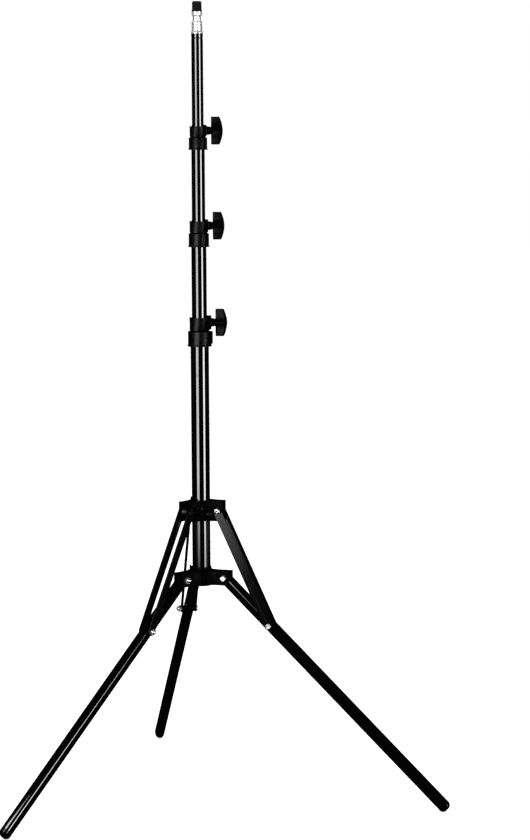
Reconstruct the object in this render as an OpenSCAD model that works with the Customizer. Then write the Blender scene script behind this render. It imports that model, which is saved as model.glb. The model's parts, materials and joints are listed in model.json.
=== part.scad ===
// Telescopic lighting stand with three reverse-folding legs.
// Origin: on the floor, straight under the column. +Z is up. Millimetres.
// Each leg has its own radial frame: local X points away from the column,
// local Y runs along the hinge pins.

/* [Column] */
// Outer diameter of the main tube
main_d = 28; // [27:0.5:30]
// Wall of the main tube
main_wall = 1.2; // [1:0.1:1.6]
// Outer diameter of the second tube
second_d = 23; // [22.6:0.1:23.6]
// Wall of the second tube
second_wall = 1.1; // [0.9:0.1:1.2]
// Outer diameter of the third tube
third_d = 20.2; // [20:0.1:20.4]
// Wall of the third tube
third_wall = 1; // [0.8:0.1:1]
// Outer diameter of the top tube
top_d = 17.6; // [17:0.1:17.8]
// Wall of the top tube
top_wall = 1; // [0.8:0.1:1.4]
// Height of the main tube's top end above the hinge pins
main_reach = 378; // [374:1:416]
// How far the second section is drawn out
second_out = 101; // [0:1:300]
// How far the third section is drawn out
third_out = 101; // [0:1:330]
// How far the top section is drawn out
top_out = 132; // [0:1:360]
// Length of each guide plug's rim
guide_rim = 8; // [6:1:12]
// Length of each guide plug inside its tube
guide_stem = 10; // [8:1:16]

/* [Collars] */
// Height of the low collar on the main tube
low_h = 43.4; // [38:0.2:48]
// Height of the middle collar on the second tube
mid_h = 38.6; // [34:0.2:42]
// Height of the top collar on the third tube
high_h = 35.2; // [31:0.2:38]
// Share of a collar's height that grips the tube drawn out of it
grip_share = 0.445; // [0.4:0.005:0.46]
// Wall of a collar's clamping ring
grip_wall = 3.6; // [3.4:0.1:3.8]
// Wall of a collar's lower ring
seat_wall = 3.7; // [3.4:0.1:4]
// How far a collar's rims stand out
rim_out = 1; // [0.6:0.1:1.4]
// Thickness of a collar's rims
rim_h = 1.4; // [1:0.1:1.8]
// Height of the groove between a collar's two rings
groove_h = 1.2; // [0.6:0.1:1.4]
// Depth of the groove between a collar's two rings
groove_in = 0.8; // [0.3:0.1:0.8]
// How far a collar's lower jaws stand out beyond the tube's sides
seat_jaw = 0.9; // [0.8:0.1:2.4]
// How far a collar's upper jaws stand out beyond the tube's sides
grip_jaw = 1.4; // [1.2:0.1:2]
// How far a collar's lugs reach beyond its tube
lug_reach = 10; // [9:0.25:11]
// Gap between a collar's two jaws
jaw_gap = 2; // [1.4:0.1:2.6]
// How far a collar's upper lug rises above its ring
lug_rise = 2; // [0.5:0.1:2.6]
// Height of the slot between a collar's upper and lower lug
lug_slot = 2.8; // [2.2:0.1:3.4]
// Rounding of the lugs' corners
lug_round = 2.4; // [1.5:0.1:2.6]
// Direction of the low collar's lugs around the column
low_turn = 76; // [60:1:100]
// Direction of the other collars' lugs around the column
high_turn = 81; // [70:1:100]

/* [Knobs] */
// Length of a knob's wings from tip to tip
knob_span = 42; // [36:1:44]
// Width of a wing's tip
knob_tip_w = 5; // [4:0.5:7]
// Depth of a wing at its tip
knob_tip_h = 10.6; // [9:0.2:13.8]
// Depth of the knob's wings at the middle
knob_mid_h = 17; // [14:0.2:18]
// Diameter of the knob's skirt
skirt_d = 12.8; // [11:0.2:14]
// Length of the knob's skirt
skirt_h = 5.6; // [5:0.2:9]
// Diameter of the knob's threaded stud
stud_d = 5.8; // [5:0.1:6]
// Thickness of the washer under the knob
washer_h = 1.2; // [0.8:0.1:1.6]

/* [Spigot] */
// Diameter of the spigot, five eighths of an inch class
spigot_d = 15.9; // [15.8:0.1:16]
// Diameter of the spigot's locking neck
neck_d = 12.6; // [11:0.2:13]
// Length of the land under the neck
low_land = 12.4; // [10:0.2:15]
// Length of the neck
neck_h = 10.4; // [8:0.2:12]
// Length of the land above the neck
high_land = 5.8; // [4:0.2:8]
// Height of the flared shoulder on the tube's end
flare_h = 4.4; // [3:0.2:6]
// Diameter of the camera thread on the spigot's end
thread_d = 6.3; // [6:0.1:6.4]
// Length of the camera thread
thread_h = 10; // [8:0.5:11]
// Diameter of the protective cap
cap_d = 14.4; // [14:0.1:15]
// Height of the protective cap
cap_h = 15; // [13:0.5:18]
// Number of ribs around the cap
cap_ribs = 20; // [12:1:28]

/* [Legs] */
// Direction of the first leg around the column
leg_azimuth = -19; // [-30:1:0]
// Angle of a leg from straight up when it is spread
leg_angle = 133.9; // [132:0.1:136]
// Angle through which a leg folds
fold_angle = 132; // [128:0.5:132.5]
// Length of a leg from its hinge pin to its tip
leg_len = 488; // [470:1:500]
// Width of the oval leg tube, along the hinge pin
leg_w = 15.6; // [15:0.1:15.8]
// Depth of the oval leg tube, in the plane it folds in
leg_depth = 19.4; // [18.4:0.1:19.6]
// Wall of the leg tube
leg_wall = 1.1; // [0.9:0.1:1.4]
// Length of the straight part of the foot cap
foot_skirt = 4; // [2:0.5:8]
// Length of the foot's plug inside the leg
foot_plug = 18; // [12:1:26]
// Distance from the hinge pin to the brace pin
brace_at = 101; // [96:1:106]
// Diameter of the hinge bolts
hinge_bolt_d = 6; // [5:0.1:6.4]
// Diameter of the brace bolts
brace_bolt_d = 5; // [4:0.1:5.4]

/* [Braces] */
// Length of a brace from pin to pin
brace_len = 192; // [190:0.5:194]
// Width of a brace
brace_w = 12.5; // [11:0.1:12.5]
// Thickness of a brace
brace_t = 1.6; // [1.2:0.1:2.4]
// Distance from a leg's middle plane to the inner face of a brace
brace_off = 10.1; // [10.1:0.1:10.6]

/* [Hubs] */
// Distance from the column's axis to the leg hinge pins
hinge_r = 38.2; // [37.6:0.1:39.6]
// Reach of the base hub's ears
base_ear_r = 47.5; // [45:0.5:52]
// Half the width over a pair of base ears
base_ear_half = 9.9; // [9.8:0.1:10.4]
// Height of the base hub
base_hub_h = 21.6; // [20:0.2:26]
// Distance from the column's axis to the brace pins on the slider
slider_pin_r = 29.7; // [29.5:0.1:30.2]
// Reach of the slider's ears
slider_ear_r = 36.9; // [34.5:0.1:37.6]
// Half the width over a pair of slider ears
slider_ear_half = 9.3; // [9.1:0.1:9.4]
// Height of the slider hub
slider_h = 31; // [26:0.5:34]
// Least distance from the axis to a hub's hollowed sides
web_r = 17.6; // [17.4:0.1:18]
// Wall of the slider's liner
liner_wall = 1.4; // [1:0.1:1.6]
// Height of the boss that carries the slider's knob
boss_h = 6; // [5:0.2:8]
// Offset of the slider's knob from the middle of the hub's side
slider_knob_off = 7.5; // [0:0.5:7.5]

/* [Fits] */
// Radial clearance of everything that turns or slides
run_fit = 0.05; // [0.03:0.01:0.08]
// Gap between flat faces that pass each other
face_gap = 0.3; // [0.2:0.05:0.4]
// Gap between a leg's spacers and the braces beside them
head_gap = 0.1; // [0.05:0.05:0.2]
// Gap between the tips of two knobs when the stand is closed
knob_gap = 0.9; // [0.5:0.1:2]

/* [Hidden] */
$fn = 96;

leg_step = 120;
foot_r = leg_w / 2;
foot_shift = (leg_depth - leg_w) / 2;
leg_end_r = leg_depth / 2;

// The lowest point of a spread leg's domed foot stands on the floor.
hinge_z = -(leg_len - foot_r) * cos(leg_angle) + foot_shift * sin(leg_angle) + foot_r;
main_top_z = hinge_z + main_reach;
main_bottom_z = hinge_z - base_hub_h / 2;

// The braces set the slider's height.
brace_tilt = asin((hinge_r + brace_at * sin(leg_angle) - slider_pin_r) / brace_len);
slider_z = hinge_z + brace_at * cos(leg_angle) + brace_len * cos(brace_tilt);

// A collar's step lies just above the end of the tube it sits on.
seat_depth = 2;
function grip_h(h) = h * grip_share;
function seat_h(h) = h - grip_h(h);

// Closed sections stop where the upper two knobs just clear each other.
closest = mid_h - grip_mid(mid_h) + grip_mid(high_h);
stack_gap = max(2, knob_span + knob_gap - closest);
low_z = main_top_z + seat_depth - seat_h(low_h);
mid_z = low_z + low_h + stack_gap + second_out;
high_z = mid_z + mid_h + stack_gap + third_out;
spigot_z = high_z + high_h + stack_gap + top_out;
second_top_z = mid_z + seat_h(mid_h) - seat_depth;
third_top_z = high_z + seat_h(high_h) - seat_depth;

// Closed sections end one above another, each on the guide plug below it.
end_gap = 3;
end_step = guide_rim + guide_stem + 1;
plug_h = 14;
plug_lip = 2;
closed_end_z = main_bottom_z + plug_h + end_gap;
second_bottom_z = closed_end_z + second_out + guide_rim;
third_bottom_z = closed_end_z + second_out + third_out + guide_rim + end_step;
top_bottom_z = closed_end_z + second_out + third_out + top_out + guide_rim + 2 * end_step;

// Radii of tube bores.
main_bore = main_d / 2 - main_wall;
second_bore = second_d / 2 - second_wall;
third_bore = third_d / 2 - third_wall;
top_bore = top_d / 2 - top_wall;

// Fasteners.
screw_d = 4;
screw_head_d = 7;
screw_head_h = 3.4;
socket_share = 0.34;
nut_h = 3.2;
stud_nut_af = 9.2;
screw_nut_af = 7;
bolt_head_r = 4.5;
bolt_head_h = 2.6;
dome_nut_af = 8.6;
dome_nut_hex_h = 4;
spacer_r = 5.2;
sleeve_r = 3.6;
washer_r = 6.6;
stud_tip = 1.5;

black = "#101012";
plastic = "#2b2b2e";
knob_black = "#161618";
steel = "#c9ccd0";
chrome = "#dfe2e6";
satin = "#26262a";

// ---- shared shapes ----

// A tube of outer diameter d from z0 to z1.
module pipe(d, wall, z0, z1) {
  translate([0, 0, z0]) difference() {
    cylinder(d = d, h = z1 - z0);
    translate([0, 0, -1]) cylinder(r = d / 2 - wall, h = z1 - z0 + 2);
  }
}

// A solid of revolution from [radius, height] points.
module turned(points) {
  rotate_extrude() polygon(points);
}

// The oval outline of a leg, w along Y and depth along X.
module oval(w, depth) {
  square([depth - w, w], center = true);
  for (side = [-1, 1]) translate([side * (depth - w) / 2, 0]) circle(d = w);
}

// A cylinder along Y, from y0 to y1.
module y_rod(r, y0, y1) {
  translate([0, y1, 0]) rotate([90, 0, 0]) cylinder(r = r, h = y1 - y0);
}

// Puts children into the radial frame of leg k.
module on_leg(k) {
  rotate([0, 0, leg_azimuth + leg_step * (k - 1)]) children();
}

// Puts children into the frame of leg k, with local Z along the leg.
module along_leg(k) {
  on_leg(k) translate([hinge_r, 0, hinge_z]) rotate([0, leg_angle, 0]) children();
}

// Puts children at the brace pin of leg k, with local Z along the brace.
module along_brace(k) {
  along_leg(k) translate([0, 0, brace_at]) rotate([0, -leg_angle - brace_tilt, 0]) children();
}

// A hexagonal prism along Z with a bore.
module hex_nut(af, h, bore_r) {
  difference() {
    cylinder(d = af / cos(30), h = h, $fn = 6);
    translate([0, 0, -1]) cylinder(r = bore_r, h = h + 2);
  }
}

// A button head along Z with a hexagon socket, sitting on z = 0.
module button_head(r, h) {
  difference() {
    turned([[0, 0], [r, 0], [r, h * 0.5], [r * 0.94, h * 0.82], [r * 0.8, h], [0, h]]);
    translate([0, 0, h * 0.4]) cylinder(r = r * socket_share, h = h, $fn = 6);
  }
}

// A dome nut along Z on z = 0, closed at its far end, bored through its hexagon.
module dome_nut(af, hex_h, bore_r) {
  dome_r = af * 0.45;
  difference() {
    union() {
      cylinder(d = af / cos(30), h = hex_h, $fn = 6);
      translate([0, 0, hex_h]) intersection() {
        sphere(r = dome_r);
        cylinder(r = dome_r, h = dome_r);
      }
    }
    translate([0, 0, -1]) cylinder(r = bore_r, h = hex_h + 1);
  }
}

// ---- collars ----

// One clamping collar, its lower end at z = 0 and its lugs towards +X.
// inner_d is the tube that slides in it and outer_d the tube it sits on.
module collar(inner_d, outer_d, h) {
  grip_r = inner_d / 2 + grip_wall;
  seat_r = outer_d / 2 + seat_wall;
  step = seat_h(h);
  bevel = (seat_r - grip_r) / 2;
  groove_r = grip_r - groove_in;
  groove_z = step - groove_h;
  lug_end = outer_d / 2 + lug_reach;
  grip_half = grip_half(inner_d);
  seat_half = seat_half(outer_d);
  screw_x = clamp_screw_x(outer_d);
  difference() {
    union() {
      turned([[0, 0], [seat_r + rim_out, 0], [seat_r + rim_out, rim_h], [seat_r, rim_h + rim_out],
              [seat_r, groove_z - bevel * 0.6], [seat_r - bevel * 0.6, groove_z], [groove_r, groove_z],
              [groove_r, step], [grip_r, step], [grip_r, h - rim_h],
              [grip_r + rim_out, h - rim_h * 0.6], [grip_r + rim_out, h], [0, h]]);
      lug(lug_end, seat_half, rim_h + 0.6, step - lug_slot);
      lug(lug_end, grip_half, step, h + lug_rise);
      translate([stud_x(outer_d), 0, grip_mid(h)]) y_rod(skirt_d / 2, -grip_half - 1, -grip_half);
    }
    translate([0, 0, -1]) cylinder(r = outer_d / 2, h = step - seat_depth + 1);
    cylinder(r = inner_d / 2 + run_fit, h = h + 1);
    translate([0, 0, h]) cylinder(r = grip_half + 1, h = lug_rise + 1);
    translate([0, -jaw_gap / 2, -1]) cube([lug_end + 1, jaw_gap, h + lug_rise + 2]);
    translate([inner_d / 2 + 0.6, -seat_r - 5, step - lug_slot]) cube([lug_end, 2 * seat_r + 10, lug_slot]);
    translate([stud_x(outer_d), 0, grip_mid(h)]) {
      y_rod(stud_d / 2 + run_fit, -grip_half - 2, grip_half + 1);
      translate([0, grip_half - nut_h, 0]) rotate([-90, 0, 0])
        cylinder(d = stud_nut_af / cos(30), h = nut_h + 1, $fn = 6);
    }
    translate([screw_x, 0, seat_mid(h)]) {
      y_rod(screw_d / 2, -outer_d, outer_d);
      y_rod(screw_head_d / 2, -seat_half - 1, -seat_half + screw_head_h);
      translate([0, seat_half - nut_h, 0]) rotate([-90, 0, 0])
        cylinder(d = screw_nut_af / cos(30), h = nut_h + 1, $fn = 6);
    }
  }
}

// Half the thickness of the upper and the lower pair of jaws around a tube of diameter d.
function grip_half(d) = d / 2 + grip_jaw;
function seat_half(d) = d / 2 + seat_jaw;
// Places of the two screws, and the middles of the two lugs.
function clamp_screw_x(outer_d) = outer_d / 2 + 5.8;
function stud_x(outer_d) = outer_d / 2 + 6.4;
function seat_mid(h) = (rim_h + seat_h(h) - lug_slot) / 2;
function grip_mid(h) = (seat_h(h) + h + lug_rise) / 2;

// A lug block with rounded outer corners, seen along Y.
module lug(reach, half, z0, z1) {
  translate([0, half, 0]) rotate([90, 0, 0]) linear_extrude(2 * half) {
    translate([0, z0]) square([reach - lug_round, z1 - z0]);
    translate([0, z0 + lug_round]) square([reach, z1 - z0 - 2 * lug_round]);
    for (z = [z0 + lug_round, z1 - lug_round]) translate([reach - lug_round, z]) circle(r = lug_round);
  }
}

// Places children at a collar: its base height, its turn, its tube.
module at_collar(z, turn) {
  translate([0, 0, z]) rotate([0, 0, turn]) children();
}

// The screw that fixes a collar to its own tube, in the collar's frame.
module clamp_screw(outer_d, h) {
  head_y = -seat_half(outer_d) + screw_head_h;
  translate([clamp_screw_x(outer_d), 0, seat_mid(h)]) difference() {
    union() {
      y_rod(screw_d / 2, head_y - 0.5, seat_half(outer_d) - 0.4);
      y_rod(screw_head_d / 2 - 0.1, head_y - screw_head_h + 0.4, head_y);
    }
    translate([0, head_y - screw_head_h, 0]) rotate([-90, 0, 0])
      cylinder(r = screw_head_d / 2 * socket_share, h = 2, $fn = 6);
  }
}

// The two hexagon nuts let into a collar's far jaws, in its frame.
module collar_nuts(inner_d, outer_d, h) {
  translate([clamp_screw_x(outer_d), seat_half(outer_d) - nut_h, seat_mid(h)])
    rotate([-90, 0, 0]) hex_nut(screw_nut_af, nut_h, screw_d / 2);
  translate([stud_x(outer_d), grip_half(inner_d) - nut_h, grip_mid(h)])
    rotate([-90, 0, 0]) hex_nut(stud_nut_af, nut_h, stud_d / 2 + run_fit);
}

// ---- knobs ----

// Half width of a wing at distance x from the knob's axis.
function wing_half(x) = let (t = x / (knob_span / 2))
  knob_tip_w / 2 + (skirt_d / 2 - knob_tip_w / 2) * (1 - t) * (1 - t);
// Depth of a wing at distance x from the knob's axis.
function wing_depth(x) = let (t = abs(x) / (knob_span / 2))
  knob_tip_h + (knob_mid_h - knob_tip_h) * (1 - pow(t, wing_bow));
wing_bow = 1.3;
wing_steps = 8;
wing_side = [for (i = [-wing_steps : wing_steps]) let (x = i * knob_span / 2 / wing_steps)
  [x, wing_half(abs(x))]];

// A winged knob. Local Z is the stud's axis, with the skirt's foot at z = 0.
module knob() {
  difference() {
    union() {
      turned([[0, 0], [skirt_d / 2 - 1, 0], [skirt_d / 2, 1], [skirt_d / 2, skirt_h + 1], [0, skirt_h + 1]]);
      intersection() {
        translate([0, 0, skirt_h]) linear_extrude(knob_mid_h)
          polygon(concat(wing_side, [for (i = [2 * wing_steps : -1 : 0]) [wing_side[i][0], -wing_side[i][1]]]));
        translate([0, skirt_d, skirt_h]) rotate([90, 0, 0]) linear_extrude(2 * skirt_d)
          polygon(concat([[-knob_span / 2 + 1, 0], [knob_span / 2 - 1, 0], [knob_span / 2, 1]],
                         [for (i = [wing_steps : -1 : -wing_steps]) let (x = i * knob_span / 2 / wing_steps)
                           [x, wing_depth(x)]],
                         [[-knob_span / 2, 1]]));
      }
    }
    translate([0, 0, -1]) cylinder(r = stud_d / 2, h = stud_in_knob + 1);
    translate([0, 0, skirt_h + knob_mid_h - 1]) cylinder(r = 1.6, h = 2);
  }
}
stud_in_knob = 16;

// A knob's stud and its washer. The washer lies under the skirt.
module knob_stud(reach) {
  translate([0, 0, -reach]) cylinder(d = stud_d, h = reach + stud_in_knob);
  translate([0, 0, -washer_h]) difference() {
    cylinder(r = washer_r, h = washer_h);
    translate([0, 0, -1]) cylinder(r = stud_d / 2 + run_fit, h = washer_h + 2);
  }
}

// Puts children at a collar's knob: local Z out of the jaw, local X up.
module at_knob(z, turn, inner_d, outer_d, h) {
  at_collar(z, turn)
    translate([stud_x(outer_d), -grip_half(inner_d) - 1 - washer_h, grip_mid(h)])
    rotate([90, -90, 0]) children();
}

// How far a stud reaches through the jaws to its nut.
function stud_reach(inner_d) = washer_h + 1 + 2 * grip_half(inner_d) - stud_tip;

// ---- the column ----

module main_tube() {
  color(black) pipe(main_d, main_wall, main_bottom_z, main_top_z);
}

module base_plug() {
  color(plastic) translate([0, 0, main_bottom_z]) difference() {
    union() {
      cylinder(r = main_bore, h = plug_h);
      translate([0, 0, -plug_lip]) cylinder(r = main_d / 2 + 1.4, h = plug_lip);
    }
    translate([0, 0, plug_lip]) cylinder(r = main_bore - 2, h = plug_h);
  }
}

module second_tube() {
  color(black) pipe(second_d, second_wall, second_bottom_z, second_top_z);
}

module third_tube() {
  color(black) pipe(third_d, third_wall, third_bottom_z, third_top_z);
}

// The top tube has a shallow crimped ring near its end.
module top_tube() {
  crimp_at = 6.8;
  crimp_r = 0.8;
  color(black) difference() {
    pipe(top_d, top_wall, top_bottom_z, spigot_z);
    translate([0, 0, spigot_z - crimp_at]) rotate_extrude()
      translate([top_d / 2 + crimp_r / 4, 0]) circle(r = crimp_r, $fn = 24);
  }
}

// A guide plug: a rim that slides in the outer tube and a stem in its own.
module guide(z, rim_r, stem_r) {
  color(plastic) difference() {
    union() {
      translate([0, 0, z - guide_rim]) cylinder(r = rim_r - run_fit, h = guide_rim);
      translate([0, 0, z]) cylinder(r = stem_r, h = guide_stem);
    }
    translate([0, 0, z - guide_rim - 1]) cylinder(r = stem_r - 2, h = guide_rim + guide_stem + 2);
  }
}

module spigot() {
  stem = 24;
  r = spigot_d / 2;
  neck_r = neck_d / 2;
  ease = (spigot_d - neck_d) / 2;
  z1 = flare_h;
  z2 = z1 + low_land;
  z3 = z2 + neck_h;
  z4 = z3 + high_land;
  color(chrome) translate([0, 0, spigot_z]) turned([
    [0, -stem], [top_bore, -stem], [top_bore, 0], [top_d / 2, 0], [top_d / 2, flare_h * 0.4],
    [r, z1], [r, z2], [neck_r, z2 + ease], [neck_r, z3 - ease], [r, z3], [r, z4 - 0.6], [r - 0.6, z4],
    [thread_d / 2, z4], [thread_d / 2, z4 + thread_h - 0.8], [thread_d / 2 - 0.8, z4 + thread_h],
    [0, z4 + thread_h]]);
}

// The ribbed cap that protects the camera thread.
module spigot_cap() {
  r = cap_d / 2;
  skirt = 2;
  z = spigot_z + flare_h + low_land + neck_h + high_land;
  color(plastic) translate([0, 0, z]) difference() {
    turned([[0, 0], [r + 0.6, 0], [r + 0.6, skirt], [r, skirt], [r, cap_h - 1.6], [r - 1.6, cap_h], [0, cap_h]]);
    translate([0, 0, -1]) cylinder(r = thread_d / 2 + run_fit, h = thread_h + 1.6);
    for (i = [0 : cap_ribs - 1]) rotate([0, 0, i * 360 / cap_ribs])
      translate([r + 0.25, 0, skirt]) cylinder(r = 0.7, h = cap_h);
  }
}

// ---- the hubs ----

// A three-armed outline with hollowed sides between its arms. Each hollow is
// an arc that crosses the arms' outer faces by a hair, so that it meets them cleanly.
module hub_outline(ear_r, half) {
  bite = 0.05;
  reach = (web_r + bite - half) / (1 - sin(60));
  hollow_r = reach - web_r;
  for (k = [0 : 2]) rotate(leg_step * k) translate([0, -half]) square([ear_r, 2 * half]);
  for (k = [0 : 2]) rotate(leg_step * k + 60) difference() {
    polygon([[0, 0], hub_touch(reach, half, -60), [reach, 0], hub_touch(reach, half, 60)]);
    translate([reach, 0]) circle(r = hollow_r, $fn = 180);
  }
}

// A point just inside the arm at angle a, beside the end of the hollow.
function hub_touch(reach, half, a) = let (y = (a > 0 ? -1 : 1) * (half - 1))
  [cos(a) * reach / 2 - sin(a) * y, sin(a) * reach / 2 + cos(a) * y];

// The fork slot of every arm, from radius r0 outwards.
module fork_slots(r0, half, h) {
  for (k = [1 : 3]) on_leg(k) translate([r0, -half, -h]) cube([60, 2 * half, 2 * h]);
}

module base_hub() {
  fork_r = hinge_r - leg_end_r - 1;
  socket_r = main_d / 2 + 1;
  flare = [for (a = [0 : 15 : 90]) [socket_r + 3.4 * (1 - sin(a)), 5.6 * (1 - cos(a))]];
  color(plastic) translate([0, 0, hinge_z]) difference() {
    union() {
      translate([0, 0, -base_hub_h / 2]) linear_extrude(base_hub_h)
        rotate(leg_azimuth) hub_outline(base_ear_r, base_ear_half);
      translate([0, 0, base_hub_h / 2]) turned(concat([[0, -1], [flare[0][0], -1]], flare, [[0, flare[6][1]]]));
    }
    cylinder(d = main_d, h = 2 * base_hub_h, center = true);
    fork_slots(fork_r, leg_w / 2 + face_gap, base_hub_h);
    for (k = [1 : 3]) on_leg(k) translate([hinge_r, 0, 0])
      y_rod(hinge_bolt_d / 2, -base_ear_half - 1, base_ear_half + 1);
  }
}

module leg_hinge_bolts() {
  color(steel) for (k = [1 : 3]) on_leg(k) translate([hinge_r, 0, hinge_z]) {
    y_rod(hinge_bolt_d / 2, -base_ear_half, base_ear_half + dome_nut_hex_h);
    translate([0, -base_ear_half, 0]) rotate([90, 0, 0]) button_head(bolt_head_r, bolt_head_h);
  }
}

module leg_hinge_nuts() {
  color(steel) for (k = [1 : 3]) on_leg(k) translate([hinge_r, base_ear_half, hinge_z])
    rotate([-90, 0, 0]) dome_nut(dome_nut_af + 1, dome_nut_hex_h, hinge_bolt_d / 2);
}

slider_bore_r = main_d / 2 + run_fit;
liner_r = slider_bore_r + liner_wall;

// The side of the slider that carries the knob lies between legs 3 and 1.
module at_slider_knob(out) {
  translate([0, 0, slider_z]) rotate([0, 0, leg_azimuth - 60])
    translate([out, -slider_knob_off, 0]) rotate([0, 90, 0]) children();
}
boss_face = web_r + boss_h;

module slider_hub() {
  color(plastic) difference() {
    union() {
      translate([0, 0, slider_z - slider_h / 2]) linear_extrude(slider_h)
        rotate(leg_azimuth) hub_outline(slider_ear_r, slider_ear_half);
      at_slider_knob(boss_face) translate([0, 0, -boss_h - 6]) cylinder(d = skirt_d, h = boss_h + 6);
    }
    translate([0, 0, slider_z]) cylinder(r = liner_r, h = 2 * slider_h, center = true);
    translate([0, 0, slider_z]) fork_slots(web_r + 4, slider_ear_half - 2.4, slider_h);
    for (k = [1 : 3]) on_leg(k) translate([slider_pin_r, 0, slider_z])
      y_rod(sleeve_r, -slider_ear_half - 1, slider_ear_half + 1);
    at_slider_knob(boss_face) translate([0, 0, -boss_face]) cylinder(r = stud_d / 2 + run_fit, h = boss_face + 1);
  }
}

module slider_liner() {
  color(knob_black) translate([0, 0, slider_z]) difference() {
    cylinder(r = liner_r, h = slider_h, center = true);
    cylinder(r = slider_bore_r, h = 2 * slider_h, center = true);
    translate([0, 0, -slider_z]) at_slider_knob(boss_face) translate([0, 0, -boss_face])
      cylinder(r = stud_d / 2 + run_fit, h = boss_face + 1);
  }
}

// Threaded sleeves through the slider's ears, one for each pair of braces.
module slider_pivot_sleeves() {
  half = brace_off - face_gap;
  color(steel) for (k = [1 : 3]) on_leg(k) translate([slider_pin_r, 0, slider_z]) difference() {
    y_rod(sleeve_r, -half, half);
    y_rod(brace_bolt_d / 2, -half - 1, half + 1);
  }
}

module slider_knob() {
  color(knob_black) at_slider_knob(boss_face + washer_h) rotate([0, 0, 90]) knob();
}

// The slider's stud ends just clear of the main tube's flank.
module slider_knob_stud() {
  flank = sqrt(pow(main_d / 2, 2) - pow(slider_knob_off - stud_d / 2, 2));
  color(steel) at_slider_knob(boss_face + washer_h) knob_stud(boss_face + washer_h - flank - face_gap);
}

// ---- legs ----

module leg_tube(k) {
  foot_z = leg_len - foot_r - foot_skirt;
  color(black) along_leg(k) difference() {
    intersection() {
      translate([0, 0, -leg_end_r]) linear_extrude(foot_z + leg_end_r) oval(leg_w, leg_depth);
      union() {
        y_rod(leg_end_r, -leg_w, leg_w);
        translate([-leg_depth, -leg_w, 0]) cube([2 * leg_depth, 2 * leg_w, leg_len]);
      }
    }
    translate([0, 0, -leg_end_r - 1]) linear_extrude(leg_len)
      oval(leg_w - 2 * leg_wall, leg_depth - 2 * leg_wall);
    y_rod(hinge_bolt_d / 2 + 0.5, -leg_w, leg_w);
    translate([0, 0, brace_at]) y_rod(brace_bolt_d / 2, -leg_w, leg_w);
  }
}

// The moulded insert in the leg's hinged end. It turns on the hinge bolt.
module leg_insert(k) {
  insert_len = 26;
  w = leg_w - 2 * leg_wall;
  depth = leg_depth - 2 * leg_wall;
  color(plastic) along_leg(k) difference() {
    intersection() {
      translate([0, 0, -leg_end_r]) linear_extrude(insert_len + leg_end_r) oval(w, depth);
      union() {
        y_rod(leg_end_r, -leg_w, leg_w);
        translate([-leg_depth, -leg_w, 0]) cube([2 * leg_depth, 2 * leg_w, leg_len]);
      }
    }
    y_rod(hinge_bolt_d / 2 + run_fit, -leg_w, leg_w);
  }
}

module leg_foot(k) {
  color(black) along_leg(k) translate([0, 0, leg_len - foot_r]) {
    for (side = [-1, 1]) translate([side * foot_shift, 0, 0]) sphere(r = foot_r);
    rotate([0, 90, 0]) cylinder(r = foot_r, h = 2 * foot_shift, center = true);
    translate([0, 0, -foot_skirt]) linear_extrude(foot_skirt) oval(leg_w, leg_depth);
    translate([0, 0, -foot_skirt - foot_plug]) linear_extrude(foot_plug)
      oval(leg_w - 2 * leg_wall, leg_depth - 2 * leg_wall);
  }
}

// Ends of everything that stands between a pair of braces.
brace_inside = brace_off - head_gap;

// The pin through a leg, level with its spacers' outer faces.
module leg_cross_pin(k) {
  color(steel) along_leg(k) translate([0, 0, brace_at])
    y_rod(brace_bolt_d / 2, -brace_inside, brace_inside);
}

module leg_spacers(k) {
  length = brace_inside - leg_w / 2;
  color(plastic) along_leg(k) translate([0, 0, brace_at]) for (side = [-1, 1])
    translate([0, side * (leg_w + length) / 2, 0]) rotate([90, 0, 0]) difference() {
      cylinder(r = spacer_r, h = length, center = true);
      cylinder(r = brace_bolt_d / 2, h = 2 * length, center = true);
    }
}

// ---- braces ----

// One flat bar with round ends. side is -1 for near and 1 for far.
module brace(k, side) {
  color(satin) along_brace(k) translate([0, side * (brace_off + brace_t / 2), 0]) rotate([90, 0, 0])
    linear_extrude(brace_t, center = true) difference() {
      union() {
        translate([-brace_w / 2, 0]) square([brace_w, brace_len]);
        for (y = [0, brace_len]) translate([0, y]) circle(d = brace_w);
      }
      for (y = [0, brace_len]) translate([0, y]) circle(r = brace_bolt_d / 2);
    }
}

// Shank in a brace's hole, along Z from the brace's inner face.
module brace_shank() {
  translate([0, 0, brace_off]) cylinder(d = brace_bolt_d, h = brace_t);
}

// The screws that hold a pair of braces against the slider's sleeve.
module brace_screws(k) {
  color(steel) along_brace(k) translate([0, 0, brace_len]) for (side = [-1, 1])
    rotate([side * -90, 0, 0]) {
      brace_shank();
      translate([0, 0, brace_off + brace_t]) button_head(bolt_head_r, bolt_head_h);
    }
}

// The button head and the dome nut at the leg's end of a pair of braces.
module brace_bolt_ends(k) {
  color(steel) along_brace(k) {
    rotate([90, 0, 0]) {
      brace_shank();
      translate([0, 0, brace_off + brace_t]) button_head(bolt_head_r, bolt_head_h);
    }
    rotate([-90, 0, 0]) {
      translate([0, 0, brace_off]) cylinder(d = brace_bolt_d, h = brace_t + dome_nut_hex_h);
      translate([0, 0, brace_off + brace_t]) dome_nut(dome_nut_af, dome_nut_hex_h, brace_bolt_d / 2);
    }
  }
}

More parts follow.
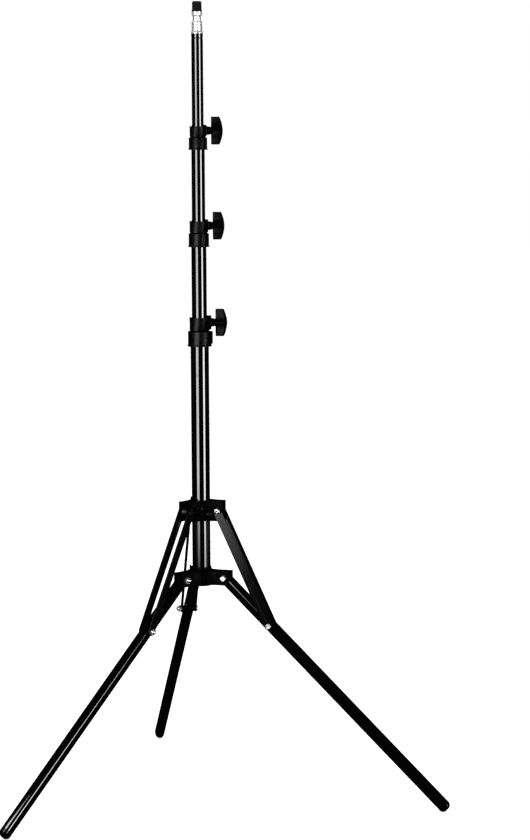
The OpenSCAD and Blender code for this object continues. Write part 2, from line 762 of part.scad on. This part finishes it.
main_tube();
base_hub();
base_plug();
color(plastic) at_collar(low_z, low_turn) collar(second_d, main_d, low_h);  // low_collar
color(steel) at_collar(low_z, low_turn) clamp_screw(main_d, low_h);  // low_collar_screw
color(steel) at_collar(low_z, low_turn) collar_nuts(second_d, main_d, low_h);  // low_collar_nuts
leg_hinge_bolts();
leg_hinge_nuts();
color(knob_black) at_knob(low_z, low_turn, second_d, main_d, low_h) knob();  // low_knob
color(steel) at_knob(low_z, low_turn, second_d, main_d, low_h) knob_stud(stud_reach(second_d));  // low_knob_stud
second_tube();
guide(second_bottom_z, main_bore, second_bore);  // second_guide
color(plastic) at_collar(mid_z, high_turn) collar(third_d, second_d, mid_h);  // mid_collar
color(steel) at_collar(mid_z, high_turn) clamp_screw(second_d, mid_h);  // mid_collar_screw
color(steel) at_collar(mid_z, high_turn) collar_nuts(third_d, second_d, mid_h);  // mid_collar_nuts
color(knob_black) at_knob(mid_z, high_turn, third_d, second_d, mid_h) knob();  // mid_knob
color(steel) at_knob(mid_z, high_turn, third_d, second_d, mid_h) knob_stud(stud_reach(third_d));  // mid_knob_stud
third_tube();
guide(third_bottom_z, second_bore, third_bore);  // third_guide
color(plastic) at_collar(high_z, high_turn) collar(top_d, third_d, high_h);  // high_collar
color(steel) at_collar(high_z, high_turn) clamp_screw(third_d, high_h);  // high_collar_screw
color(steel) at_collar(high_z, high_turn) collar_nuts(top_d, third_d, high_h);  // high_collar_nuts
color(knob_black) at_knob(high_z, high_turn, top_d, third_d, high_h) knob();  // high_knob
color(steel) at_knob(high_z, high_turn, top_d, third_d, high_h) knob_stud(stud_reach(top_d));  // high_knob_stud
top_tube();
guide(top_bottom_z, third_bore, top_bore);  // top_guide
spigot();
spigot_cap();
slider_hub();
slider_liner();
slider_pivot_sleeves();
slider_knob();
slider_knob_stud();
for (k = [1 : 3]) {
  leg_tube(k);
  leg_insert(k);
  leg_foot(k);
  leg_cross_pin(k);
  leg_spacers(k);
  brace(k, -1);
  brace(k, 1);
  brace_screws(k);
  brace_bolt_ends(k);
}
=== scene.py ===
import json
import math

import bmesh
import bpy
from mathutils import Matrix, Vector


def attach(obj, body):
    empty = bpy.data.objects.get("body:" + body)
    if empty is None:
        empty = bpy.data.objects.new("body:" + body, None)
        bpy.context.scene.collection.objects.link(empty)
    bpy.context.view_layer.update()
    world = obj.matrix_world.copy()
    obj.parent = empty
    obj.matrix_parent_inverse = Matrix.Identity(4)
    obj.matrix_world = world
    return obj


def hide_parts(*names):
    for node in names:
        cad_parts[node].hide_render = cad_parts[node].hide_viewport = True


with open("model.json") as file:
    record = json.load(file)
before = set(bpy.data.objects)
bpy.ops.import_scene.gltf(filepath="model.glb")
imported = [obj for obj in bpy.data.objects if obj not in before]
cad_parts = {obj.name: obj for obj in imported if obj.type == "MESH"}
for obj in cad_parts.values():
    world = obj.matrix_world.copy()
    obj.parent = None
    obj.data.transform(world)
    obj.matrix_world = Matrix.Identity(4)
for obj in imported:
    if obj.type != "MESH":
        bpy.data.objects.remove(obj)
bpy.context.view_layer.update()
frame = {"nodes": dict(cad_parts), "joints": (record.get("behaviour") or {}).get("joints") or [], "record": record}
NODES = frame["nodes"]
MM = 0.001


# ---- materials ----

# places of the Mix node's color sockets, whose names repeat
MIX_FACTOR, MIX_A, MIX_B, MIX_COLOR = 0, 6, 7, 2
# how much brighter a worn edge is than the plastic's light clouds
EDGE_LIGHTER = 1.9


class Paint:
    """A small helper that wires one Principled material."""

    def __init__(self, name):
        self.mat = bpy.data.materials.new(name)
        self.mat.use_nodes = True
        self.tree = self.mat.node_tree
        self.bsdf = self.tree.nodes["Principled BSDF"]
        self.where = self.node("ShaderNodeTexCoord").outputs["Object"]

    def node(self, kind):
        return self.tree.nodes.new(kind)

    def link(self, a, b):
        self.tree.links.new(a, b)

    def set(self, **values):
        for key, value in values.items():
            self.bsdf.inputs[key.replace("_", " ")].default_value = value

    def stretched(self, scale):
        """The object's own coordinates, scaled on each axis."""
        m = self.node("ShaderNodeMapping")
        m.inputs["Scale"].default_value = scale
        self.link(self.where, m.inputs["Vector"])
        return m.outputs["Vector"]

    def noise(self, scale, detail=4.0, rough=0.55, at=None):
        n = self.node("ShaderNodeTexNoise")
        n.inputs["Scale"].default_value = scale
        n.inputs["Detail"].default_value = detail
        n.inputs["Roughness"].default_value = rough
        self.link(at or self.where, n.inputs["Vector"])
        return n.outputs["Fac"]

    def ramp(self, fac, stops):
        """Greys between stops of (position, value)."""
        r = self.node("ShaderNodeValToRGB")
        e = r.color_ramp.elements
        while len(e) < len(stops):
            e.new(0.5)
        for i, (pos, value) in enumerate(stops):
            e[i].position = pos
            e[i].color = (value, value, value, 1)
        self.link(fac, r.inputs["Fac"])
        return r.outputs["Color"]

    def mix(self, fac, a, b):
        """Goes from a to b, each a color or a socket, as the socket fac goes from 0 to 1."""
        m = self.node("ShaderNodeMix")
        m.data_type = "RGBA"
        self.link(fac, m.inputs[MIX_FACTOR])
        for place, value in ((MIX_A, a), (MIX_B, b)):
            if isinstance(value, bpy.types.NodeSocket):
                self.link(value, m.inputs[place])
            else:
                m.inputs[place].default_value = (*value, 1)
        return m.outputs[MIX_COLOR]

    def bump(self, height, strength, distance):
        b = self.node("ShaderNodeBump")
        b.inputs["Strength"].default_value = strength
        b.inputs["Distance"].default_value = distance
        self.link(height, b.inputs["Height"])
        self.link(b.outputs["Normal"], self.bsdf.inputs["Normal"])

    def edges(self, stops=((0.52, 0.0), (0.6, 1.0))):
        """A grey ramp over pointiness, which is below 0.5 in hollows and above it on edges."""
        g = self.node("ShaderNodeNewGeometry")
        return self.ramp(g.outputs["Pointiness"], stops)


def lacquered_tube():
    """Gloss black lacquer: orange peel, fine rub marks along the tube, handling haze."""
    p = Paint("tube_black")
    marks = p.noise(60, detail=6, rough=0.7, at=p.stretched((9, 9, 0.35)))
    rubs = p.ramp(marks, [(0.66, 0.0), (0.85, 1.0)])
    haze = p.ramp(p.noise(14, detail=3), [(0.35, 0.05), (0.7, 0.075)])
    p.link(p.mix(rubs, (0.0012, 0.0012, 0.0014), (0.004, 0.004, 0.0044)), p.bsdf.inputs["Base Color"])
    p.link(p.mix(rubs, haze, (0.11, 0.11, 0.11)), p.bsdf.inputs["Roughness"])
    p.bump(p.noise(150, detail=2), strength=0.005, distance=0.0004)
    p.set(Specular_IOR_Level=0.0, Coat_Weight=1.0, Coat_IOR=1.6, Coat_Roughness=0.03)
    return p.mat


def grained_plastic(name, dark, light, rough, shine, grain=1500, depth=0.35, painted_hollow_shade=False):
    """Moulded plastic: fine spark-eroded grain, flow clouds, polished edges, and, where asked, painted shade in
    the hollows.
    """
    p = Paint(name)
    clouds = p.ramp(p.noise(45, detail=4), [(0.35, 0.0), (0.68, 1.0)])
    worn = p.edges()
    worn_color = tuple(c * EDGE_LIGHTER for c in light)
    p.link(p.mix(worn, p.mix(clouds, dark, light), worn_color), p.bsdf.inputs["Base Color"])
    face_rough = p.ramp(p.noise(120, detail=3), [(0.3, rough - 0.06), (0.7, rough + 0.07)])
    p.link(p.mix(worn, face_rough, (rough - 0.14,) * 3), p.bsdf.inputs["Roughness"])
    p.bump(p.noise(grain, detail=3, rough=0.65), strength=depth, distance=0.00012)
    p.set(Specular_IOR_Level=shine)
    # painted shade: hollows such as the collars' groove lose all their specular, so they render black like a
    # shadow gap
    if painted_hollow_shade:
        p.link(p.edges([(0.472, 0.0), (0.497, shine)]), p.bsdf.inputs["Specular IOR Level"])
    return p.mat


def painted_bar():
    """Satin black paint on flat bar, with a light orange peel and rubbed edges."""
    p = Paint("brace_steel")
    worn = p.edges([(0.53, 0.0), (0.62, 1.0)])
    clouds = p.ramp(p.noise(30, detail=4), [(0.3, 0.0), (0.75, 1.0)])
    paint = p.mix(clouds, (0.0008, 0.0008, 0.0009), (0.0022, 0.0022, 0.0024))
    p.link(p.mix(worn, paint, (0.012, 0.012, 0.0125)), p.bsdf.inputs["Base Color"])
    p.link(p.ramp(p.noise(90, detail=4), [(0.3, 0.08), (0.7, 0.15)]), p.bsdf.inputs["Roughness"])
    p.bump(p.noise(500, detail=3), strength=0.10, distance=0.0002)
    p.set(Specular_IOR_Level=0.13)
    return p.mat


def plated(name, color, tint, rough, spread, metal):
    """Plated metal: faint cloudy tint, fine grain and handling haze."""
    p = Paint(name)
    clouds = p.ramp(p.noise(260, detail=4), [(0.35, 0.0), (0.7, 1.0)])
    p.link(p.mix(clouds, color, tint), p.bsdf.inputs["Base Color"])
    haze = p.ramp(p.noise(480, detail=5, rough=0.7), [(0.3, rough), (0.75, rough + spread)])
    p.link(haze, p.bsdf.inputs["Roughness"])
    p.bump(p.noise(900, detail=3), strength=0.06, distance=0.0001)
    p.set(Metallic=metal)
    return p.mat


MATS = {
    "tube_black": lacquered_tube(),
    "casting_plastic": grained_plastic(
        "casting_plastic", dark=(0.0008, 0.0008, 0.0009), light=(0.0016, 0.0016, 0.0017),
        # with painted shade in its hollows: no specular there, so the collars' groove renders black
        rough=0.34, shine=0.13, painted_hollow_shade=True),
    "knob_plastic": grained_plastic(
        "knob_plastic", dark=(0.0006, 0.0006, 0.0007), light=(0.0013, 0.0013, 0.0014),
        rough=0.20, shine=0.022, grain=1900, depth=0.25),
    "inner_plastic": grained_plastic(
        "inner_plastic", dark=(0.001, 0.001, 0.0011), light=(0.0018, 0.0018, 0.0019),
        rough=0.42, shine=0.05),
    "cap_plastic": grained_plastic(
        "cap_plastic", dark=(0.005, 0.005, 0.0053), light=(0.008, 0.008, 0.0084),
        rough=0.40, shine=0.06),
    "foot_plastic": grained_plastic(
        "foot_plastic", dark=(0.0008, 0.0008, 0.0009), light=(0.0015, 0.0015, 0.0017),
        rough=0.20, shine=0.15, grain=500, depth=0.08),
    "brace_steel": painted_bar(),
    "zinc_steel": plated(
        "zinc_steel", color=(0.78, 0.79, 0.81), tint=(0.68, 0.70, 0.73),
        rough=0.33, spread=0.08, metal=1.0),
    "spigot_chrome": plated(
        "spigot_chrome", color=(0.90, 0.91, 0.93), tint=(0.84, 0.85, 0.88),
        rough=0.40, spread=0.06, metal=0.7),
}
# a duller finish of the casting plastic, for the base hub and the slider hub
HUB_PLASTIC = grained_plastic(
    "hub_plastic", dark=(0.0007, 0.0007, 0.0008), light=(0.0013, 0.0013, 0.0014),
    rough=0.44, shine=0.012)
SLOT_OF = {s["node"]: s["material_slot"] for s in frame["record"]["subparts"]}


# ---- mesh helpers ----

def mesh_object(name, bm, mat):
    bmesh.ops.recalc_face_normals(bm, faces=bm.faces)
    me = bpy.data.meshes.new(name)
    bm.to_mesh(me)
    bm.free()
    ob = bpy.data.objects.new(name, me)
    bpy.context.scene.collection.objects.link(ob)
    me.materials.append(mat)
    return ob


def loft(bm, rings):
    """Joins rings of points, each a closed loop of the same length, and closes both ends."""
    loops = [[bm.verts.new(p) for p in ring] for ring in rings]
    n = len(loops[0])
    for a, b in zip(loops, loops[1:]):
        for i in range(n):
            bm.faces.new((a[i], a[(i + 1) % n], b[(i + 1) % n], b[i]))
    bm.faces.new(loops[0])
    bm.faces.new(loops[-1])


def lathe(bm, profile, steps):
    """Turns [radius, height] points about Z."""
    angles = [2 * math.pi * i / steps for i in range(steps)]
    loft(bm, [[(r * math.cos(a), r * math.sin(a), z) for a in angles] for r, z in profile])


def apply_modifiers(ob):
    dg = bpy.context.evaluated_depsgraph_get()
    me = bpy.data.meshes.new_from_object(ob.evaluated_get(dg))
    ob.modifiers.clear()
    old, ob.data = ob.data, me
    bpy.data.meshes.remove(old)


# ---- the winged knob, in mm ----

# the skirt around the stud, from its foot up into the wings: radius, height
SKIRT = [(6.0, 0.0), (6.5, 0.3), (6.6, 0.9), (6.4, 1.9), (5.8, 3.2), (5.7, 4.6),
         (6.1, 6.0), (6.4, 7.6), (6.0, 10.0), (4.0, 13.0)]
SKIRT_STEPS = 48
# half the span over the wings; the wings' underside, their crest at the middle and at the tips
KNOB_HALF = 21.0
WING_LOW, WING_TOP, WING_TIP = 5.3, 22.9, 17.9
# half the wings' thickness at the tips, what the middle adds to it, and how fast that is lost
TIP_THICK, BELLY, BELLY_POWER = 2.7, 3.9, 2.5
# the rounded tips: where they start and how long they are, as shares of the half span
TIP_FROM, TIP_LENGTH, TIP_PINCH = 0.93, 0.07, 0.6
TIP_RAISE, TIP_DROP = 0.6, 0.8
# powers under 1 make a section squarer across (Y) and up (Z)
SQUARE_Y, SQUARE_Z = 0.42, 0.24
WING_STATIONS, WING_POINTS = 38, 28
# the crown: where it starts, its dimple, the ridge across it, and the flat that ends it
CROWN_FROM = 18
DIMPLE_R, DIMPLE_DEPTH = 1.7, 0.75
RIDGE_HEIGHT, RIDGE_HALF, RIDGE_FROM = 0.3, 1.1, 2.0
KNOB_TOP = 22.55
VOXEL, SMOOTH_FACTOR, SMOOTH_ROUNDS, KEPT_FACES = 0.4, 0.5, 4, 0.35


def wing_section(x):
    """The loop of points round the wings at one x along their span."""
    t = abs(x) / KNOB_HALF
    tip = max(0.0, (t - TIP_FROM) / TIP_LENGTH)
    shrink = math.sqrt(max(0.0, 1 - TIP_PINCH * tip * tip))
    half = (TIP_THICK + BELLY * (1 - t) ** BELLY_POWER) * shrink
    low = WING_LOW + TIP_RAISE * (1 - shrink)
    high = WING_TOP - (WING_TOP - WING_TIP) * t ** 2.0 - TIP_DROP * (1 - shrink)
    mid, tall = (low + high) / 2, (high - low) / 2
    ring = []
    for i in range(WING_POINTS):
        a = 2 * math.pi * i / WING_POINTS
        c, q = math.cos(a), math.sin(a)
        y = half * math.copysign(abs(c) ** SQUARE_Y, c)
        z = mid + tall * math.copysign(abs(q) ** SQUARE_Z, q)
        ring.append((x, y, z))
    return ring


def shape_crown(mesh):
    """A small dimple in the crown and a low ridge across it, then a flat top and foot."""
    bm = bmesh.new()
    bm.from_mesh(mesh)
    for v in bm.verts:
        r = math.hypot(v.co.x, v.co.y)
        if v.co.z > CROWN_FROM:
            if r < DIMPLE_R:
                v.co.z -= DIMPLE_DEPTH * (1 - (r / DIMPLE_R) ** 2)
            if r > RIDGE_FROM:
                v.co.z += RIDGE_HEIGHT * max(0.0, 1 - abs(v.co.x) / RIDGE_HALF)
        v.co.z = max(0.0, min(v.co.z, KNOB_TOP))
    bm.to_mesh(mesh)
    bm.free()


def knob_mesh():
    """One winged knob: stud axis +Z, skirt's foot at z = 0, wings along X."""
    bm = bmesh.new()
    lathe(bm, SKIRT, SKIRT_STEPS)
    spans = [-KNOB_HALF + 2 * KNOB_HALF * s / WING_STATIONS for s in range(WING_STATIONS + 1)]
    loft(bm, [wing_section(x) for x in spans])
    ob = mesh_object("knob_form", bm, MATS["knob_plastic"])
    remesh = ob.modifiers.new("remesh", "REMESH")
    remesh.mode, remesh.voxel_size, remesh.use_smooth_shade = "VOXEL", VOXEL, True
    smooth = ob.modifiers.new("smooth", "SMOOTH")
    smooth.factor, smooth.iterations = SMOOTH_FACTOR, SMOOTH_ROUNDS
    apply_modifiers(ob)
    shape_crown(ob.data)
    slim = ob.modifiers.new("slim", "DECIMATE")
    slim.ratio = KEPT_FACES
    apply_modifiers(ob)
    me = ob.data
    me.transform(Matrix.Scale(MM, 4))
    for f in me.polygons:
        f.use_smooth = True
    bpy.data.objects.remove(ob)
    return me


JOINTS = {j["name"]: j for j in frame["joints"]}


def place_knob(mesh, name, joint, wing_dir, node, body):
    """Sets a knob on its joint: local Z along the stud, wings along wing_dir."""
    j = JOINTS[joint]
    z = Vector(j["axis"]).normalized()
    x = (Vector(wing_dir) - Vector(wing_dir).dot(z) * z).normalized()
    y = z.cross(x)
    m = Matrix.Translation(Vector(j["pos_m"])) @ Matrix((x, y, z)).transposed().to_4x4()
    mesh = mesh.copy()
    mesh.transform(m)
    ob = bpy.data.objects.new(name, mesh)
    bpy.context.scene.collection.objects.link(ob)
    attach(ob, body)
    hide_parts(node)


# which way each knob's wings point
WINGS = {"low_knob": (0, 0, 1), "mid_knob": (0, 0, 1), "high_knob": (0, 0, 1), "slider_knob": (1, 0, -0.12)}
form = knob_mesh()
for knob, wings in WINGS.items():
    place_knob(form, knob + "_moulding", knob + "_turn", wings, knob, knob)


# ---- finish on the CAD nodes ----

# how far the edges of each material are rounded, in mm
ROUNDED = {"casting_plastic": 0.35, "brace_steel": 0.3, "inner_plastic": 0.2, "cap_plastic": 0.25}
WELD_REACH = 0.000004
FLAT_ANGLE, EDGE_ANGLE = math.radians(0.5), math.radians(38)
for name, ob in NODES.items():
    slot = SLOT_OF[name]
    ob.data.materials.clear()
    ob.data.materials.append(HUB_PLASTIC if name.endswith("_hub") else MATS[slot])
    if slot in ROUNDED:
        weld = ob.modifiers.new("weld", "WELD")
        weld.merge_threshold = WELD_REACH
        flat = ob.modifiers.new("flat", "DECIMATE")
        flat.decimate_type, flat.angle_limit = "DISSOLVE", FLAT_ANGLE
        bev = ob.modifiers.new("soft_edges", "BEVEL")
        bev.width, bev.segments, bev.limit_method = ROUNDED[slot] * MM, 2, "ANGLE"
        bev.angle_limit, bev.use_clamp_overlap = EDGE_ANGLE, True
        bev.harden_normals = True


# ---- studio, in metres and degrees ----

# the light that surfaces get from all round, and the white floor's own and returned light
AROUND_LIGHT = 0.55
FLOOR_OWN_LIGHT, FLOOR_GREY = 0.64, 0.85
FLOOR_HALF, FLOOR_Z = 14.0, -0.0004
ROOM_HALF, ROOM_LOW, ROOM_HIGH, ROOM_LIGHT = 12.0, -4.0, 9.0, 0.002
CARD_STEPS = 48
# both left strips are one stretch of light as seen in the tubes and in the legs
LEFT_FROM, LEFT_TO, LEFT_LIGHT = -46.5, -18.0, 10.4


def stage_mesh(name, verts, faces, mat):
    me = bpy.data.meshes.new(name)
    me.from_pydata(verts, [], faces)
    me.materials.append(mat)
    ob = bpy.data.objects.new(name, me)
    bpy.context.scene.collection.objects.link(ob)
    return ob


def seen_rays(tree):
    """1 for camera, glossy and transmission rays."""
    path = tree.nodes.new("ShaderNodeLightPath")
    total = path.outputs["Is Camera Ray"]
    for kind in ("Is Glossy Ray", "Is Transmission Ray"):
        m = tree.nodes.new("ShaderNodeMath")
        m.operation = "MAXIMUM"
        tree.links.new(total, m.inputs[0])
        tree.links.new(path.outputs[kind], m.inputs[1])
        total = m.outputs[0]
    return total


def studio_world():
    """White to camera, glossy and transmission rays, and a dimmer light to all others."""
    world = bpy.data.worlds.new("studio")
    bpy.context.scene.world = world
    world.use_nodes = True
    t = world.node_tree
    out = t.nodes["World Output"]
    light = t.nodes["Background"]
    light.inputs["Color"].default_value = (1, 1, 1, 1)
    light.inputs["Strength"].default_value = AROUND_LIGHT
    shown = t.nodes.new("ShaderNodeBackground")
    shown.inputs["Color"].default_value = (1, 1, 1, 1)
    shown.inputs["Strength"].default_value = 1.0
    mix = t.nodes.new("ShaderNodeMixShader")
    t.links.new(seen_rays(t), mix.inputs[0])
    t.links.new(light.outputs[0], mix.inputs[1])
    t.links.new(shown.outputs[0], mix.inputs[2])
    t.links.new(mix.outputs[0], out.inputs[0])


def floor_material():
    """White floor: part of its white is its own light, and the rest shows the shadow."""
    mat = bpy.data.materials.new("floor")
    mat.use_nodes = True
    t = mat.node_tree
    t.nodes.clear()
    out = t.nodes.new("ShaderNodeOutputMaterial")
    diffuse = t.nodes.new("ShaderNodeBsdfDiffuse")
    diffuse.inputs["Color"].default_value = (FLOOR_GREY, FLOOR_GREY, FLOOR_GREY, 1)
    white = t.nodes.new("ShaderNodeEmission")
    own = t.nodes.new("ShaderNodeMath")
    own.operation = "MULTIPLY"
    own.inputs[1].default_value = FLOOR_OWN_LIGHT
    both = t.nodes.new("ShaderNodeAddShader")
    t.links.new(seen_rays(t), own.inputs[0])
    t.links.new(own.outputs[0], white.inputs["Strength"])
    t.links.new(diffuse.outputs[0], both.inputs[0])
    t.links.new(white.outputs[0], both.inputs[1])
    t.links.new(both.outputs[0], out.inputs[0])
    return mat


def plain_emission(name, value, fade=None):
    """Even light, or light that grows from none to all of it between two heights."""
    mat = bpy.data.materials.new(name)
    mat.use_nodes = True
    t = mat.node_tree
    t.nodes.clear()
    out = t.nodes.new("ShaderNodeOutputMaterial")
    e = t.nodes.new("ShaderNodeEmission")
    e.inputs["Color"].default_value = (1, 1, 1, 1)
    e.inputs["Strength"].default_value = value
    if fade:
        place = t.nodes.new("ShaderNodeTexCoord")
        split = t.nodes.new("ShaderNodeSeparateXYZ")
        grow = t.nodes.new("ShaderNodeMapRange")
        for key, v in zip(("From Min", "From Max", "To Min", "To Max"), (*fade, 0.0, value)):
            grow.inputs[key].default_value = v
        t.links.new(place.outputs["Object"], split.inputs[0])
        t.links.new(split.outputs["Z"], grow.inputs["Value"])
        t.links.new(grow.outputs["Result"], e.inputs["Strength"])
    t.links.new(e.outputs[0], out.inputs[0])
    return mat


def round_points(radius, a0, a1, count):
    """Points on a circle, with angle 0 towards the viewer at -Y and positive to +X."""
    angles = [math.radians(a0 + (a1 - a0) * i / count) for i in range(count + 1)]
    return [(radius * math.sin(a), -radius * math.cos(a)) for a in angles]


def square(half, z):
    return [(x, y, z) for x, y in ((-half, -half), (half, -half), (half, half), (-half, half))]


def glossy_only(ob):
    ob.visible_camera = False
    ob.visible_diffuse = False
    ob.visible_shadow = False
    ob.visible_transmission = False
    ob.visible_volume_scatter = False


def curved_card(name, radius, a0, a1, z0, z1, strength, fade):
    """A strip softbox that only reflections show, with its light fading out to its foot."""
    pts = round_points(radius, a0, a1, CARD_STEPS)
    verts = [(x, y, z0) for x, y in pts] + [(x, y, z1) for x, y in pts]
    n = len(pts)
    faces = [(i, i + 1, n + i + 1, n + i) for i in range(n - 1)]
    light = plain_emission(name, strength, (z0, z0 + fade))
    glossy_only(stage_mesh(name, verts, faces, light))


def area_lamp(name, place, aim, width, height, watts):
    data = bpy.data.lights.new(name, "AREA")
    data.shape, data.size, data.size_y, data.energy = "RECTANGLE", width, height, watts
    ob = bpy.data.objects.new(name, data)
    ob.location = place
    ob.rotation_euler = (Vector(aim) - Vector(place)).to_track_quat("-Z", "Y").to_euler()
    ob.visible_camera = False
    ob.visible_glossy = False
    bpy.context.scene.collection.objects.link(ob)


def dark_room(half, z0, z1):
    """A black studio around everything, for reflections alone."""
    verts = square(half, z0) + square(half, z1)
    faces = [(0, 1, 2, 3), (4, 5, 6, 7), (0, 1, 5, 4), (1, 2, 6, 5), (2, 3, 7, 6), (3, 0, 4, 7)]
    glossy_only(stage_mesh("dark_room", verts, faces, plain_emission("dark_room", ROOM_LIGHT)))


studio_world()
floor = stage_mesh("floor", square(FLOOR_HALF, FLOOR_Z), [(0, 1, 2, 3)], floor_material())
floor.visible_glossy = False
dark_room(ROOM_HALF, ROOM_LOW, ROOM_HIGH)
# the left strips: the high one shows in the column, the low one in the legs
curved_card("left_strip", radius=1.5, a0=LEFT_FROM, a1=LEFT_TO, z0=0.49, z1=1.35,
            strength=LEFT_LIGHT, fade=0.01)
curved_card("left_low_strip", radius=0.7, a0=LEFT_FROM, a1=LEFT_TO, z0=0.22, z1=0.58,
            strength=LEFT_LIGHT, fade=0.18)
curved_card("right_strip", radius=10.0, a0=40.0, a1=61.5, z0=-1.75, z1=1.35, strength=16.5, fade=0.8)
area_lamp("left_lamp", place=(-1.9, -2.4, 1.5), aim=(0, 0, 0.7), width=1.2, height=2.4, watts=10)
area_lamp("right_lamp", place=(2.4, -1.7, 1.5), aim=(0, 0, 0.7), width=1.2, height=2.4, watts=12)
area_lamp("top_lamp", place=(0, -0.3, 3.4), aim=(0, 0, 0.6), width=2.6, height=2.6, watts=60)

scene = bpy.context.scene
scene.view_settings.view_transform = "Standard"


# ---- camera ----

# fitted to the photo: the place in metres, the turns in degrees, sensor and lens in mm
CAMERA_AT = (0.00278, -4.2915, 1.108)
PITCH, YAW, ROLL = (math.radians(a) for a in (6.963, 1.283, -0.332))
SENSOR, LENS = 36.0, 121.208571
FAR_CLIP = 200


def camera():
    """Looks along +Y, turned by yaw, tipped down by pitch and rolled about its own axis."""
    forward = Vector((math.sin(YAW) * math.cos(PITCH), math.cos(YAW) * math.cos(PITCH), -math.sin(PITCH)))
    flat_right = Vector((math.cos(YAW), -math.sin(YAW), 0))
    flat_up = flat_right.cross(forward)
    right = math.cos(ROLL) * flat_right + math.sin(ROLL) * flat_up
    up = -math.sin(ROLL) * flat_right + math.cos(ROLL) * flat_up
    data = bpy.data.cameras.new("camera")
    data.sensor_width, data.lens = SENSOR, LENS
    data.clip_end = FAR_CLIP
    ob = bpy.data.objects.new("camera", data)
    axes = Matrix((right, up, -forward)).transposed().to_4x4()
    ob.matrix_world = Matrix.Translation(CAMERA_AT) @ axes
    scene.collection.objects.link(ob)
    scene.camera = ob


camera()
